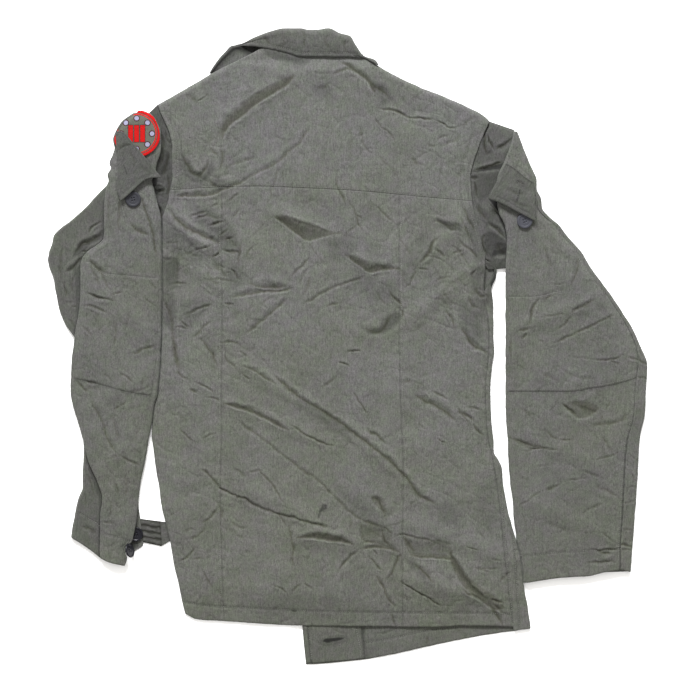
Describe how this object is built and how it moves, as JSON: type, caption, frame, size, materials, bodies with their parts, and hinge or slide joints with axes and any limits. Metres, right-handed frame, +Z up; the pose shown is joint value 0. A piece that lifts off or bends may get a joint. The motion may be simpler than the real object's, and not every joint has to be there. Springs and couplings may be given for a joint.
{
  "type": "military field jacket, laid flat face down",
  "caption": "Olive-grey cotton field jacket laid flat, back up: yoke, panelled back, turned-down collar, flapped sleeve pockets, elbow patches, stitched cuffs and a round cloth badge.",
  "frame": {"origin": "centre of the laid garment's outline, on the surface it rests on", "axes": "+Z up, out of the back; +Y towards the collar; +X towards the wearer's right sleeve"},
  "size_m": [0.7475, 0.7962, 0.0181],
  "materials": {
    "olive_twill": "olive-grey melange cotton twill, soft sheen",
    "tab_cloth": "quilted inner side of the cuff tab, darker",
    "badge_cloth": "embroidered, red rim on olive ground",
    "button_slate": "slate grey, satin",
    "button_navy": "near-black navy, glossy"
  },
  "bodies": {
    "root": {"back_centre": "olive_twill", "back_side_left": "olive_twill", "back_side_right": "olive_twill", "back_yoke": "olive_twill", "collar_end_left": "olive_twill", "collar_fall": "olive_twill", "collar_stand": "olive_twill", "cuff_button_left_1": "button_navy", "cuff_button_left_2": "button_navy", "cuff_extension_left": "olive_twill", "cuff_tab_left": "tab_cloth", "elbow_patch_left": "olive_twill", "elbow_patch_right": "olive_twill", "facing_right": "olive_twill", "flap_button_left": "button_slate", "flap_button_right": "button_slate", "front_button_1": "button_slate", "front_button_2": "button_slate", "front_button_3": "button_slate", "front_button_4": "button_slate", "front_button_5": "button_slate", "front_left": "olive_twill", "front_right": "olive_twill", "sleeve_badge": "badge_cloth", "sleeve_flap_left": "olive_twill", "sleeve_flap_right": "olive_twill", "sleeve_left_back": "olive_twill", "sleeve_left_cap": "olive_twill", "sleeve_left_front": "olive_twill", "sleeve_right_back": "olive_twill", "sleeve_right_cap": "olive_twill", "sleeve_right_front": "olive_twill"}
  },
  "joints": []
}
